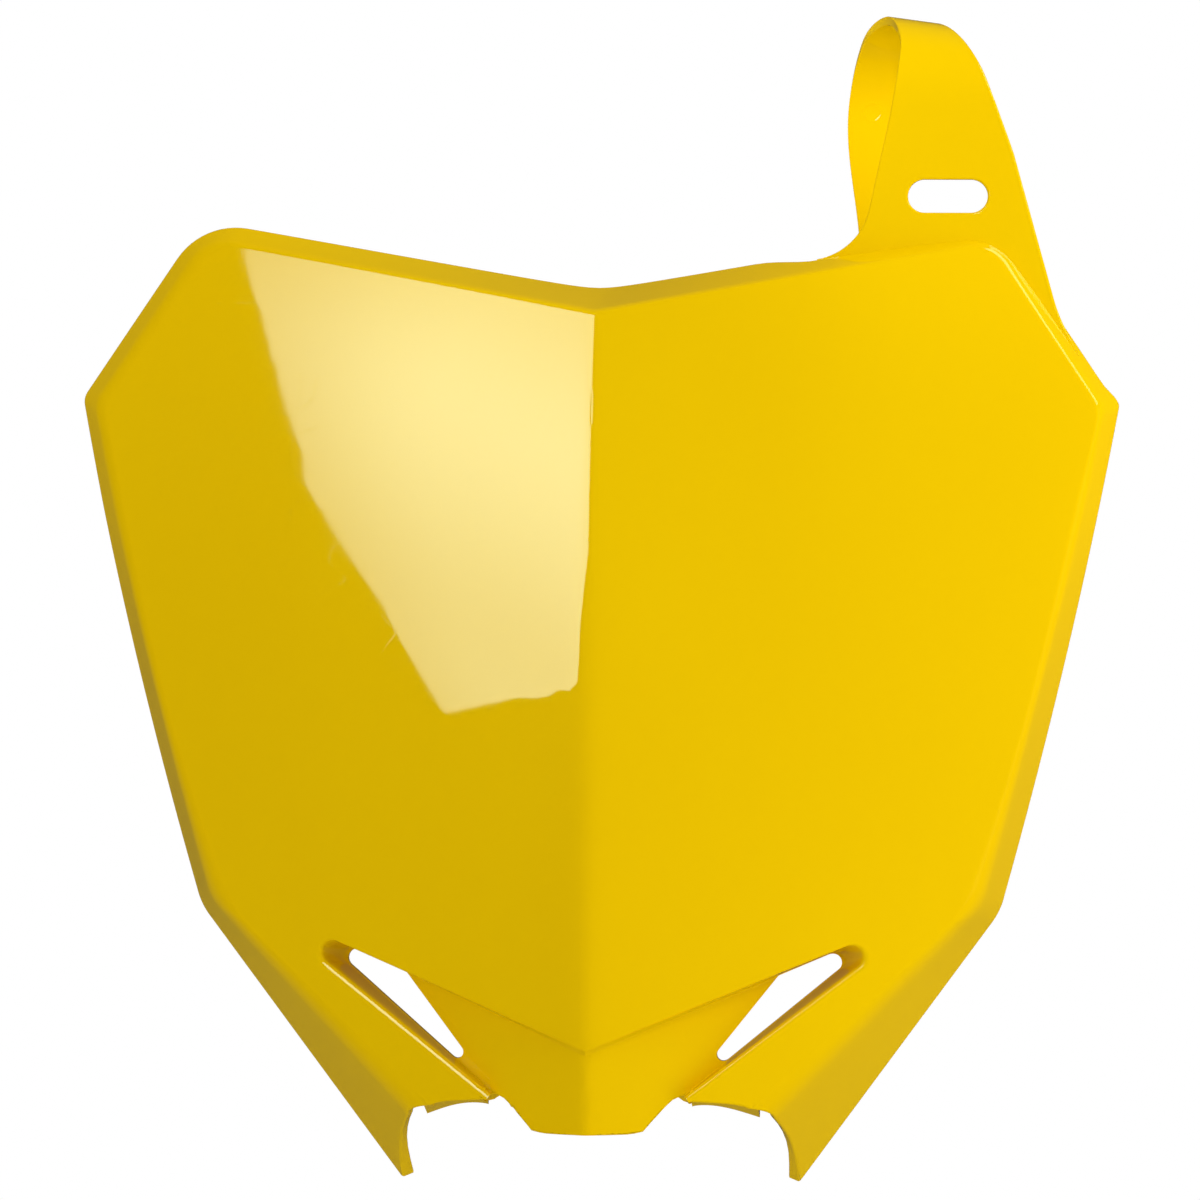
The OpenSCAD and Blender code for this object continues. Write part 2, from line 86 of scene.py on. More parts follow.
# Nose, recess and vents
NOSE_Z = 35.7
CREASE_ANGLE = 21.8
CREASE_TURN = 0.5
LEG_INNER = np.array([23.3, 24.4])
LEG_ANGLE = 37.0
LEG_TURN = 2.0
RECESS_R = 2.9
NOSE_STEP = 1.2
NOSE_FOLD = math.tan(math.radians(27.5))
CREASE_DRAFT = 1.1
LEG_DRAFT = 0.3
CREASE_ROUND = 0.45
LEG_ROUND = 1.5
CREASE_FOOT = 0.8
LEG_FOOT = 2.0
MOST_ROUND = 0.45
TONGUE = np.array([13.5, 15.5])
TONGUE_BLEND = 5
TONGUE_LIFT = 0.5
TONGUE_RUN = 0.2
TONGUE_SAG = 0.3
NOTCH = np.array([-2.4, 0.3])
NOTCH_X = (19, 25)
NOTCH_TOP = 28
NOSE_RIDGE_DROP = 7
VENT_GAP = 0.15
VENT_R = 2.2
VENT_CORNER_R = 1.6
VENT_START = 48.5
VENT_ANGLE = 51.4
FOOT_PAD = 1.6
FOOT_PAD_FADE = 2.5
FOOT_FILL = 1.2
FOOT_FILL_FADE = 6
FOOT_SCOOP = 1.2
NOSE_START = 0.6

# Tab and strap
TAB_FRONT = 4.0
SLOT = np.array([84.2, CORNER[1] + 5.8])
SLOT_LENGTH = 19.2
SLOT_WIDTH = 8.0
TAB_FILLET = 15.5
TAB_FOOT_R = 40
TAB_LEFT_ANGLE = 258
TAB_OVERLAP = 0.6
TAB_SINK = 1.7
STRAP_Z = SLOT[1] + 10
LOOP_R = 21.5
LOOP_LEAN = math.tan(math.radians(8.0))
STRAP_RISE = 22.7
STRAP_DROP = 34.0
STRAP_END_R = 3.4
STRAP_END_TURN = 60
STRAP_ROWS = 70
STRAP_END_ROWS = 5
STRAP_SHARES = (0, 0.15, 0.3, 0.5, 0.7, 0.85, 1)
STRAP_LEFT = SLOT[0] - 11
STRAP_RIGHT = SLOT[0] - 10.5
CRISP_R = 0.25
SOFT_R = 0.5

# Lips under the legs
LIP_START = 1.2
LIP_OVERLAP = 0.6
LIP_SKEW = 0.8
LIP_INNER = 10.0
LIP_OUTER = 14.0
LIP_ARCH = 5.0
LIP_END_X = 40.3
LIP_DRAFT = math.tan(math.radians(17.0))
LIP_WALL = 0.85 * WALL
LIP_ROWS, LIP_COLUMNS = 24, 6

TAB_BACK = TAB_FRONT - WALL
MID_DEPTH = (PROW_DEPTH + TAB_FRONT - 2 * WALL - 2 * LOOP_R + WALL) / 2


# Plane geometry
def unit(v):
    return v / np.linalg.norm(v)


def heading(angle):
    return np.array([math.cos(math.radians(angle)), math.sin(math.radians(angle))])


def mix(a, b, t):
    return a + (b - a) * t


def ease(t):
    t = min(max(t, 0.0), 1.0)
    return t * t * (3 - 2 * t)


def steps(a, b, n):
    return [mix(a, b, i / n) for i in range(n + 1)]


def meet(p, a, q, b):
    d = q - p
    return p + a * ((d[0] * b[1] - d[1] * b[0]) / (a[0] * b[1] - a[1] * b[0]))


def fillet(p, c, q, r, n):
    """The arc of radius r that rounds the corner c on the way from p to q."""
    u, v = unit(p - c), unit(q - c)
    half = math.acos(float(u @ v)) / 2
    centre = c + unit(u + v) * r / math.sin(half)
    a = c + u * r / math.tan(half) - centre
    b = c + v * r / math.tan(half) - centre
    sweep = math.pi - 2 * half
    return [
        centre + (a * math.sin(sweep * (1 - i / n)) + b * math.sin(sweep * i / n)) / math.sin(sweep)
        for i in range(n + 1)
    ]


def normals(curve):
    """Unit normals of a curve, to the left of its direction."""
    out = []
    for i in range(len(curve)):
        d = curve[min(i + 1, len(curve) - 1)] - curve[max(i - 1, 0)]
        out.append(unit(np.array([-d[1], d[0]])))
    return out


# Steps of the grid along the outline and across a section, turns in degrees, and how near
# two points merge
TOP_N, CORNER_N, SHOULDER_N, WIDE_N, SIDE_N = 34, 12, 14, 8, 34
CREASE_N, END_N, LEG_N = 24, 16, 34
FLANGE_N, BEND_N, PANEL_N = 6, 8, 26
ROUND_N, WALL_N, FOOT_N, NOSE_N = 5, 4, 4, 16
NOTCH_STEPS = 6
CROWDING = 0.6
FIRST_STEP = 0.004
RIM_TURN = 35
SHARP_TURN = 38
OUTLINE_TURN = 60
SEAM = 0.01
SLIVER = 0.005
TAB_SEAM = 0.02
SAME_POINT = 0.05
FIRST_NOSE = TOP_N + CORNER_N + SHOULDER_N + WIDE_N + SIDE_N


def half_outline(top, corner, wide, knee, foot, radii):
    """Half of the front view, from the middle of the top to the foot of the leg."""
    c1 = fillet(top, corner, wide, radii[0], CORNER_N)
    c2 = fillet(corner, wide, knee, radii[1], WIDE_N)
    c3 = fillet(wide, knee, foot, radii[2], END_N)
    side_n = SIDE_N + CREASE_N
    side = steps(c2[-1], c3[0], side_n)
    for i, p in enumerate(side):
        p[0] += 4 * SIDE_BOW * (i / side_n) * (1 - i / side_n)
    return (
        steps(top, c1[0], TOP_N)
        + c1[1:]
        + steps(c1[-1], c2[0], SHOULDER_N)[1:]
        + c2[1:]
        + side[1:]
        + c3[1:]
        + steps(c3[-1], foot, LEG_N)[1:]
    )


def recess_edge(crease_in, crease_turn, leg_in, leg_turn, r):
    """Up the crease from the ridge, round the recess's end and down the leg."""
    a = np.array([0, NOSE_Z - crease_in / math.cos(math.radians(CREASE_ANGLE))])
    foot = LEG_INNER + leg_in * heading(LEG_ANGLE + 90)
    apex = meet(a, heading(CREASE_ANGLE + crease_turn), foot, heading(LEG_ANGLE + leg_turn))
    arc = fillet(a, apex, foot, r, END_N)
    return steps(a, arc[0], CREASE_N) + arc[1:] + steps(arc[-1], foot, LEG_N)[1:]


rim = half_outline(TOP, CORNER, WIDE, KNEE, FOOT, RIM_RADII)
top_slope = (CORNER[1] - TOP[1]) / CORNER[0]
for p in rim[:TOP_N]:
    p[1] += top_slope * (math.hypot(p[0], TOP_ROUND) - p[0])
face_edge = half_outline(FACE_TOP, FACE_CORNER, FACE_WIDE, FACE_KNEE, FACE_FOOT, FACE_RADII)
recess = recess_edge(0, 0, 0, 0, RECESS_R)
nose_edge = recess_edge(CREASE_DRAFT, CREASE_TURN, LEG_DRAFT, LEG_TURN, VENT_R + 0.1)
LAST = len(rim) - 1
face_normal = normals(face_edge)
recess_normal = normals(recess)
recess_normal[0] = np.array([0, 1 / math.cos(math.radians(CREASE_ANGLE))])
ridge_start = mix(NOSE_Z, FACE_TOP[1], RIDGE_SHARES[0])
ridge_turn = mix(NOSE_Z, FACE_TOP[1], RIDGE_SHARES[1])
ridge = [
    np.array([0, z])
    for z in steps(ridge_start, ridge_turn, FIRST_NOSE - SIDE_N)
    + steps(ridge_turn, NOSE_Z + CREASE_ROUND, SIDE_N)[1:]
]


# Depth in front of the rear rim's plane
def ridge_depth(z):
    rise = z - PROW_Z
    if rise > 0:
        return PROW_DEPTH - PROW_FALL_TOP * (rise / (FACE_TOP[1] - PROW_Z)) ** 2
    return PROW_DEPTH - PROW_FALL_FOOT * (rise / PROW_Z) ** 2


def fold(z):
    return mix(FOLD_FOOT, FOLD_TOP, z / CORNER[1])


def past_ridge(x):
    return math.sqrt(x * x + RIDGE_R * RIDGE_R) - RIDGE_R


def face_depth(p):
    u = p[0] / HALF_WIDTH
    return ridge_depth(p[1]) - fold(p[1]) * past_ridge(p[0]) + 4 * PANEL_CROWN * u * (1 - u)


def nose_depth(p):
    return ridge_depth(p[1]) - NOSE_STEP - NOSE_FOLD * past_ridge(p[0])


def rim_depth(p):
    return -RIM_BACK * min(max((RIM_BACK_Z - p[1]) / RIM_BACK_Z, 0), 1) ** RIM_BACK_BEND


def lift(p, depth):
    return np.array([p[0], p[1], depth])


TAB_START_X = SLOT[0] - 32.2
TAB_STEP = 7
SHOULDER_SLACK = 0.7
SHOULDER_STEP = 5
TAB_FOOT = CORNER + [13.9, -22.7]
TAB_RUN = 39
SHOULDER_LINE = unit(WIDE - CORNER)
TAB_END = CORNER + TAB_RUN * SHOULDER_LINE - 2.5 * np.array([-SHOULDER_LINE[1], SHOULDER_LINE[0]])
LEG_LINE = lift(unit(FOOT - KNEE), 0)


def cut_depth(side, p):
    """The rim's depth, on the right cut back to the tab's rear face as far as the shoulder."""
    full = rim_depth(p)
    if side < 0:
        return full
    past = (p[0] - TAB_START_X) / TAB_STEP
    above = (p[1] - WIDE[1] + SHOULDER_SLACK) / SHOULDER_STEP
    level = mix(TAB_FRONT, TAB_BACK, ease(past))
    return mix(full, max(full, level), ease(past / 2 + 1) * min(max(above, 0), 1))


def place(side, p):
    """From front view and depth, in millimetres, to the frame, in metres."""
    x = side * p[0] if p[0] > 1e-6 else 0.0
    return Vector((x, MID_DEPTH - p[2], p[1])) * MM


def crowded(t):
    """Steps that lie closer together towards the far end."""
    return mix(t, math.sin(t * math.pi / 2), CROWDING)


def bezier(a, b, c, n):
    return [mix(mix(a, b, i / n), mix(b, c, i / n), i / n) for i in range(n + 1)]


def round_at(k):
    """Radius of the rounded edge round the recess: crisp at the crease, soft along the leg."""
    return mix(CREASE_ROUND, LEG_ROUND, ease((k - FIRST_NOSE - CREASE_N) / END_N))


def reach_in(side, k, r):
    """How far the rounded edge reaches onto the panel: least along the top."""
    past = k - TOP_N if side < 0 else k - FIRST_NOSE + SIDE_N
    return mix(TIGHT_R, r, ease(past / CORNER_N))


def foot_round_at(k):
    """Radius of the hollow corner where the recess's wall meets the nose."""
    return mix(CREASE_FOOT, LEG_FOOT, ease((k - FIRST_NOSE - CREASE_N) / END_N))


def outer_section(side, k):
    """From the rim over the rounded edge to the ridge, or to the edge of the recess."""
    edge = face_edge[k]
    if k < FIRST_NOSE:
        inner = ridge[k]
    else:
        inner = recess[k - FIRST_NOSE] + round_at(k) * recess_normal[k - FIRST_NOSE]
    corner = lift(edge, face_depth(edge))
    full = rim_depth(rim[k])
    share = (corner[2] - cut_depth(side, rim[k])) / (corner[2] - full)
    end = mix(corner, lift(rim[k], full), share)
    leg = ease((k - FIRST_NOSE) / (CREASE_N + END_N))
    r = mix(EDGE_R, LEG_EDGE_R, leg)
    on_flange = mix(corner, end, min(r / np.linalg.norm(end - corner), MOST_BEND))
    start = mix(edge, inner, reach_in(side, k, r) / np.linalg.norm(inner - edge))
    on_panel = lift(start, face_depth(start))
    fill = FOOT_FILL if k == LAST else 0
    scoop = FOOT_SCOOP if k == LAST else 0
    flange = []
    for i in range(FLANGE_N):
        t = i / FLANGE_N
        shift = fill * t**3 - scoop * math.sin(math.pi * t)
        flange.append(mix(end, on_flange, t) + shift * LEG_LINE)
    bend = [p + fill * LEG_LINE for p in bezier(on_flange, corner, on_panel, BEND_N)]
    panel = []
    for i in range(PANEL_N + 1):
        t = max(crowded(i / PANEL_N), FIRST_STEP)
        p = mix(start, inner, t) + fill * (1 - t) ** FOOT_FILL_FADE * LEG_LINE[:2]
        panel.append(lift(p, face_depth(p)))
    return flange + bend + panel


def nose_share(i):
    return crowded(i / NOSE_N)


def tongue_point(t):
    """The nose's lower end, from the notch beside the leg to the ridge."""
    notch = LEG_INNER + NOTCH
    corner = TONGUE + [0, TONGUE_LIFT]
    middle = np.array([0, TONGUE[1]])
    split = nose_share(NOTCH_STEPS)
    if t < split:
        return mix(notch, corner, t / split)
    past = (t - split) / (1 - split)
    rise = TONGUE_LIFT * (1 - min(past / TONGUE_RUN, 1)) - TONGUE_SAG * past * (1 - past)
    return mix(corner, middle, past) + [0, rise - TONGUE_LIFT * (1 - past)]


def inner_section(k):
    """From the edge of the recess over its wall and across the nose to the ridge."""
    n = k - FIRST_NOSE
    t = n / (LAST - FIRST_NOSE)
    edge, base = recess[n], nose_edge[n]
    r = round_at(k)
    top = lift(edge, face_depth(edge))
    foot = lift(base, nose_depth(base))
    before = edge + r * recess_normal[n]
    before = lift(before, face_depth(before))
    height = np.linalg.norm(foot - top)
    after = mix(top, foot, min(r / height, MOST_ROUND))
    ridge_end = np.array([0, mix(NOSE_Z - NOSE_RIDGE_DROP, TONGUE[1], t)])
    blend = t**TONGUE_BLEND

    def nose_point(s):
        p = mix(mix(base, ridge_end, s), tongue_point(s), blend)
        return lift(p, nose_depth(p))

    low = min(foot_round_at(k), MOST_ROUND * np.linalg.norm(foot - after))
    foot_up = mix(foot, after, low / np.linalg.norm(foot - after))
    first = nose_point(NOSE_START * nose_share(1))
    foot_in = mix(foot, first, min(low / np.linalg.norm(first - foot), 1))
    return (
        bezier(before, top, after, ROUND_N)
        + steps(after, foot_up, WALL_N)[1:]
        + bezier(foot_up, foot, foot_in, FOOT_N)[1:]
        + [nose_point(nose_share(i)) for i in range(1, NOSE_N + 1)]
    )


def grid_of(bm, rows, cols, at):
    """A grid of rows by cols cells, each vertex moved to at(row, col)."""
    made = bmesh.ops.create_grid(bm, x_segments=rows, y_segments=cols, size=1)
    for v in made["verts"]:
        row = round((v.co.x + 1) / 2 * rows)
        col = round((v.co.y + 1) / 2 * cols)
        v.co = at(row, col)


def sharp_by_angle(bm, degrees):
    """Smooth shading but for edges that turn more than so many degrees."""
    for f in bm.faces:
        f.smooth = True
    for e in bm.edges:
        if len(e.link_faces) != 2 or e.calc_face_angle(0) > math.radians(degrees):
            e.smooth = False


def add_object(name, bm):
    mesh = bpy.data.meshes.new(name)
    bm.to_mesh(mesh)
    bm.free()
    made = bpy.data.objects.new(name, mesh)
    bpy.context.scene.collection.objects.link(made)
    return made


def with_modifiers(source):
    """The object's mesh as its modifiers leave it."""
    graph = bpy.context.evaluated_depsgraph_get()
    return bpy.data.meshes.new_from_object(source.evaluated_get(graph))


def make_skin():
    """The shell's outer skin, both halves joined along the ridge."""
    bm = bmesh.new()
    for side in (1, -1):
        outer = [outer_section(side, k) for k in range(LAST + 1)]
        inner = [inner_section(k) for k in range(FIRST_NOSE, LAST + 1)]
        grid_of(bm, LAST, len(outer[0]) - 1, lambda k, j: place(side, outer[k][j]))
        grid_of(bm, LAST - FIRST_NOSE, len(inner[0]) - 1, lambda k, j: place(side, inner[k][j]))
    bmesh.ops.remove_doubles(bm, verts=bm.verts, dist=SEAM * MM)
    bmesh.ops.dissolve_degenerate(bm, edges=bm.edges, dist=SLIVER * MM)
    bmesh.ops.recalc_face_normals(bm, faces=bm.faces)
    front = sum(f.normal.y * f.calc_area() for f in bm.faces)
    if front > 0:
        bmesh.ops.reverse_faces(bm, faces=bm.faces)
    return bm


def vent_outline():
    """The vent beside the nose, seen from the front, with its three corners rounded."""
    crease = heading(CREASE_ANGLE + CREASE_TURN)
    leg = heading(LEG_ANGLE + LEG_TURN)
    a = np.array([0, NOSE_Z - (CREASE_DRAFT + VENT_GAP) / math.cos(math.radians(CREASE_ANGLE))])
    foot = LEG_INNER + (LEG_DRAFT + VENT_GAP) * heading(LEG_ANGLE + 90)
    apex = meet(a, crease, foot, leg)
    upper = a + VENT_START * crease
    lower = meet(upper, heading(VENT_ANGLE), foot, leg)
    return (
        fillet(lower, upper, apex, VENT_CORNER_R, 6)
        + fillet(upper, apex, lower, VENT_R, 12)
        + fillet(apex, lower, upper, VENT_CORNER_R, 10)
    )


def outline_prism(outline, front, back):
    """A closed prism over an outline of the front view, between two depths."""
    bm = bmesh.new()
    verts = [bm.verts.new(place(1, lift(p, front))) for p in outline]
    cap = bm.faces.new(verts)
    grown = bmesh.ops.extrude_face_region(bm, geom=[cap])
    moved = [v for v in grown["geom"] if isinstance(v, bmesh.types.BMVert)]
    bmesh.ops.translate(bm, vec=Vector((0, (front - back) * MM, 0)), verts=moved)
    bmesh.ops.recalc_face_normals(bm, faces=bm.faces)
    return bm


# The tab and the strap, cut from a flat pattern and then bent
LOOP_START = STRAP_RISE - 10
LOOP_LENGTH = math.pi * LOOP_R
STRAP_LENGTH = LOOP_START + LOOP_LENGTH + STRAP_DROP
STRAP_EDGES = [
    (-8, -18.3, 18.2),
    (0, -16.1, 15.9),
    (13, -13.4, 11.2),
    (22, -12.1, 8.1),
    (30, -11.8, 4.4),
    (45, -15.5, -2.9),
    (60, -21.6, -8.6),
    (80, -25.4, -12.6),
    (100, -23.8, -12.8),
    (STRAP_LENGTH, -20.4, -13.0),
]


def along_strap(s, column):
    """The strap's edge, as a smooth curve through one column of STRAP_EDGES."""
    i = 1
    while i < len(STRAP_EDGES) - 3 and s > STRAP_EDGES[i + 1][0]:
        i += 1
    p0, p1, p2, p3 = STRAP_EDGES[i - 1 : i + 3]
    h = p2[0] - p1[0]
    t = (s - p1[0]) / h
    m1 = (p2[column] - p0[column]) / (p2[0] - p0[0]) * h
    m2 = (p3[column] - p1[column]) / (p3[0] - p1[0]) * h
    return (
        SLOT[0]
        + p1[column] * (1 + 2 * t) * (1 - t) ** 2
        + m1 * t * (1 - t) ** 2
        + p2[column] * t * t * (3 - 2 * t)
        + m2 * t * t * (t - 1)
    )


def strap_point(x, s, off):
    """Bends a point of the flat pattern: s runs up from the tab, off is behind the front."""
    depth = TAB_FRONT - off
    if s < LOOP_START:
        return np.array([x, STRAP_Z + s, depth])
    turn = min((s - LOOP_START) / LOOP_LENGTH, 1) * math.pi
    r = LOOP_R + WALL / 2 - off
    past = max(0, s - LOOP_START - LOOP_LENGTH)
    z = STRAP_Z + LOOP_START + r * math.sin(turn) - past
    drop = LOOP_LEAN * math.sin(turn) * (x - along_strap(s, 1))
    return np.array([x, z - drop, TAB_FRONT - WALL / 2 - LOOP_R + r * math.cos(turn)])


def tab_outline():
    """The flat outline of the tab, up to where the strap leaves it."""
    flange_line = unit(CORNER - TOP)
    along = TOP - [0, TAB_SINK]
    left = np.array([along_strap(0, 1), STRAP_Z])
    right = np.array([along_strap(0, 2), STRAP_Z])
    corner = meet(along, flange_line, left, heading(TAB_LEFT_ANGLE))
    root = [
        face_edge[k] - TAB_OVERLAP * face_normal[k]
        for k in range(LAST, -1, -1)
        if face_edge[k][0] > TAB_START_X - 2 and face_edge[k][1] > TAB_END[1] + 1
    ]
    return (
        fillet(along, corner, left, TAB_FILLET, 16)
        + [mix(left, right, share) for share in STRAP_SHARES]
        + fillet(right, TAB_FOOT, TAB_END, TAB_FOOT_R, 8)
        + [TAB_END]
        + root
    )


def strap_pattern_point(i, j):
    """A point of the flat strap, i rows up and j columns across, with a rounded end."""
    run = STRAP_LENGTH - STRAP_END_R
    if i <= STRAP_ROWS:
        s, taper = run * i / STRAP_ROWS, 1
    else:
        turn = math.radians(STRAP_END_TURN) * (i - STRAP_ROWS) / STRAP_END_ROWS
        s, taper = run + STRAP_END_R * math.sin(turn), math.cos(turn)
    left, right = along_strap(s, 1), along_strap(s, 2)
    x = (left + right) / 2 + (right - left) * taper * (STRAP_SHARES[j] - 0.5)
    return Vector((x, 0, STRAP_Z + s))


def slot_ring(n=20):
    """The outline of the tab's slot."""
    reach = (SLOT_LENGTH - SLOT_WIDTH) / 2
    ring = []
    for start, shift in ((-90, reach), (90, -reach)):
        for i in range(n + 1):
            ring.append(SLOT + [shift, 0] + SLOT_WIDTH / 2 * heading(start + 180 * i / n))
    return ring


def closed_loop(bm, points):
    verts = [bm.verts.new((p[0], 0, p[1])) for p in points]
    return [bm.edges.new((verts[i - 1], verts[i])) for i in range(len(verts))]


def sharp_outline(bm):
    """The edges round the flat pattern's two faces."""
    return [
        e for e in bm.edges
        if e.calc_face_angle(0) > math.radians(OUTLINE_TURN)
        and abs(e.verts[0].co.y - e.verts[1].co.y) < 0.01
    ]


def round_edges(bm, edges, width, segments):
    """Rounds edges, and keeps the faces beside them flat in the shading."""
    made = bmesh.ops.bevel(
        bm, geom=edges, offset=width, offset_type="OFFSET", segments=segments, profile=0.5,
        affect="EDGES", clamp_overlap=False, material=-1,
    )
    rounded = set(made["faces"])
    for f in rounded:
        for e in f.edges:
            if any(g not in rounded for g in e.link_faces):
                e.smooth = False


def make_tab():
    """The tab and the strap: a flat pattern with a wall and rounded edges, then bent."""
    bm = bmesh.new()
    edges = closed_loop(bm, tab_outline()) + closed_loop(bm, slot_ring())
    bmesh.ops.triangle_fill(bm, use_beauty=True, use_dissolve=False, edges=edges)
    grid_of(bm, STRAP_ROWS + STRAP_END_ROWS, len(STRAP_SHARES) - 1, strap_pattern_point)
    bmesh.ops.remove_doubles(bm, verts=bm.verts, dist=TAB_SEAM)
    bmesh.ops.recalc_face_normals(bm, faces=bm.faces)
    grown = bmesh.ops.extrude_face_region(bm, geom=bm.faces[:])
    moved = [v for v in grown["geom"] if isinstance(v, bmesh.types.BMVert)]
    bmesh.ops.translate(bm, vec=Vector((0, WALL, 0)), verts=moved)
    bmesh.ops.recalc_face_normals(bm, faces=bm.faces)
    left_edge = [e for e in sharp_outline(bm) if max(v.co.x for v in e.verts) < STRAP_LEFT]
    round_edges(bm, left_edge, CRISP_R, 2)
    right_edge = [e for e in sharp_outline(bm) if min(v.co.x for v in e.verts) > STRAP_RIGHT]
    round_edges(bm, right_edge, SOFT_R, 3)
    for v in bm.verts:
        v.co = place(1, strap_point(v.co.x, v.co.z - STRAP_Z, v.co.y))
    bmesh.ops.recalc_face_normals(bm, faces=bm.faces)
    return bm


# The lip under each leg
def lip_point(u, v):
    """A point of the lip's upper face: u runs along the leg's end, v runs back."""
    x = mix(LEG_INNER[0] + LIP_START, LIP_END_X, u)
    z = mix(LEG_INNER[1], FACE_FOOT[1], (x - LEG_INNER[0]) / (FACE_FOOT[0] - LEG_INNER[0]))
    reach = mix(LIP_INNER, LIP_OUTER, u) - LIP_ARCH * math.sin(math.pi * u**LIP_SKEW)
    back = mix(LIP_OVERLAP, reach, v)
    return np.array([x, z - (back - LIP_OVERLAP) * LIP_DRAFT, face_depth((x, z)) - back])


def make_lips():
    """Both lips' upper skins, facing down so that their wall grows upwards."""
    bm = bmesh.new()
    for side in (1, -1):
        grid_of(
            bm, LIP_ROWS, LIP_COLUMNS,
            lambda i, j: place(side, lip_point(i / LIP_ROWS, j / LIP_COLUMNS)),
        )
    bmesh.ops.recalc_face_normals(bm, faces=bm.faces)
    for f in bm.faces:
        if f.normal.z > 0:
            f.normal_flip()
    return bm


def add_wall(to, thickness):
    solid = to.modifiers.new("wall", "SOLIDIFY")
    solid.thickness = thickness * MM
    solid.offset = -1
    solid.use_even_offset = True
    solid.use_quality_normals = True


def add_vents(to):
    """Cuts both vents through the nose; gives back the cutters."""
    cutters = []
    for side in (1, -1):
        bm = outline_prism(vent_outline(), PROW_DEPTH, -RIM_BACK)
        bmesh.ops.scale(bm, vec=(side, 1, 1), verts=bm.verts)
        bmesh.ops.recalc_face_normals(bm, faces=bm.faces)
        cutter = add_object("vent_cutter", bm)
        cut = to.modifiers.new("vent", "BOOLEAN")
        cut.operation = "DIFFERENCE"
        cut.solver = "EXACT"
        cut.object = cutter
        cutters.append(cutter)
    return cutters


def mark_rim(mesh, skin_verts):
    """Marks the faces between the two skins, and sets stray inner points straight behind."""
    bm = bmesh.new()
    bm.from_mesh(mesh)
    bm.verts.ensure_lookup_table()
    for i in range(skin_verts):
        outer, inner = bm.verts[i], bm.verts[i + skin_verts]
        if (inner.co - outer.co).length > MOST_WALL * MM:
            inner.co = outer.co + Vector((0, WALL * MM, 0))
    rim = bm.faces.layers.int.new("rim")
    for f in bm.faces:
        behind = sum(v.index >= skin_verts for v in f.verts)
        f[rim] = int(0 < behind < len(f.verts))
    bm.to_mesh(mesh)
    bm.free()


def thicken_feet(mesh, skin_verts):
    """Thickens the wall inwards at the tip of each leg."""
    for side in (1, -1):
        end = outer_section(side, LAST)[: FLANGE_N + 1]
        for i, p in enumerate(end):
            spot = place(side, p)
            gaps = [(mesh.vertices[j].co - spot).length for j in range(skin_verts)]
            nearest = int(np.argmin(gaps))
            if gaps[nearest] < SAME_POINT * MM:
                inner = mesh.vertices[nearest + skin_verts]
                inner.co.x -= side * FOOT_PAD * (1 - i / FLANGE_N) ** FOOT_PAD_FADE * MM


def round_rim(mesh, width):
    """Rounds the two edges that run round the rim."""
    bm = bmesh.new()
    bm.from_mesh(mesh)
    rim = bm.faces.layers.int["rim"]
    edges = [
        e for e in bm.edges
        if len(e.link_faces) == 2
        and e.link_faces[0][rim] != e.link_faces[1][rim]
        and e.calc_face_angle(0) > math.radians(RIM_TURN)
        and not near_notch(e)
    ]
    round_edges(bm, edges, width * MM, 3)
    return bm


def near_notch(e):
    """Beside the tongue the rim turns too sharply to be rounded."""
    x, z = abs(e.verts[0].co.x) / MM, e.verts[0].co.z / MM
    return NOTCH_X[0] < x < NOTCH_X[1] and z < NOTCH_TOP


skin = make_skin()
skin_verts = len(skin.verts)
shell = add_object("shell_skin", skin)
add_wall(shell, WALL)
shell.data = with_modifiers(shell)
shell.modifiers.clear()
mark_rim(shell.data, skin_verts)
thicken_feet(shell.data, skin_verts)
cutters = add_vents(shell)
joined = round_rim(with_modifiers(shell), SOFT_R)

lips = add_object("lip_skin", make_lips())
add_wall(lips, LIP_WALL)
tab = add_object("tab_skin", make_tab())
for source in (lips, tab):
    joined.from_mesh(with_modifiers(source))
sharp_by_angle(joined, SHARP_TURN)
for source in (shell, lips, tab, *cutters):
    bpy.data.objects.remove(source)
plate = add_object("number_board", joined)

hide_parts("number_plate")
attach(plate, "root")


# The moulded plastic
def new_material(name):
    material = bpy.data.materials.new(name)
    material.use_nodes = True
    return material, material.node_tree.nodes, material.node_tree.links


YELLOW = (0.905, 0.580, 0.0)
YELLOW_DEEP = (0.885, 0.560, 0.0)
EJECTOR_MARK = (0.0649, 0.0, 0.2640)
EJECTOR_R = 0.0022
EJECTOR_LINE = 0.0005
FACE_GLOSS = (0.012, 0.024)
INSIDE_DULL = 0.25
EDGE_DULL = 0.06
SCRATCH_DULL = 0.06
SCRATCH_DEPTH = 0.03
PEEL_HEIGHT = 0.012
BUMP_DISTANCE = 0.0001
BUMP_STRENGTH = 0.5
EDGE_POINTED = (0.53, 0.62)
SCRATCH_PATCHES = (0.61, 0.72)
FLOW_SCALE = 14.0
CLOUD_SCALE = 35.0
PATCH_SCALE = 22.0
WINDING_SCALE = 60.0
CROSSING_SCALE = 75.0
PEEL_SCALE = 200.0

# The colour sockets of a Mix node
MIX_A, MIX_B, MIX_RESULT = 6, 7, 2


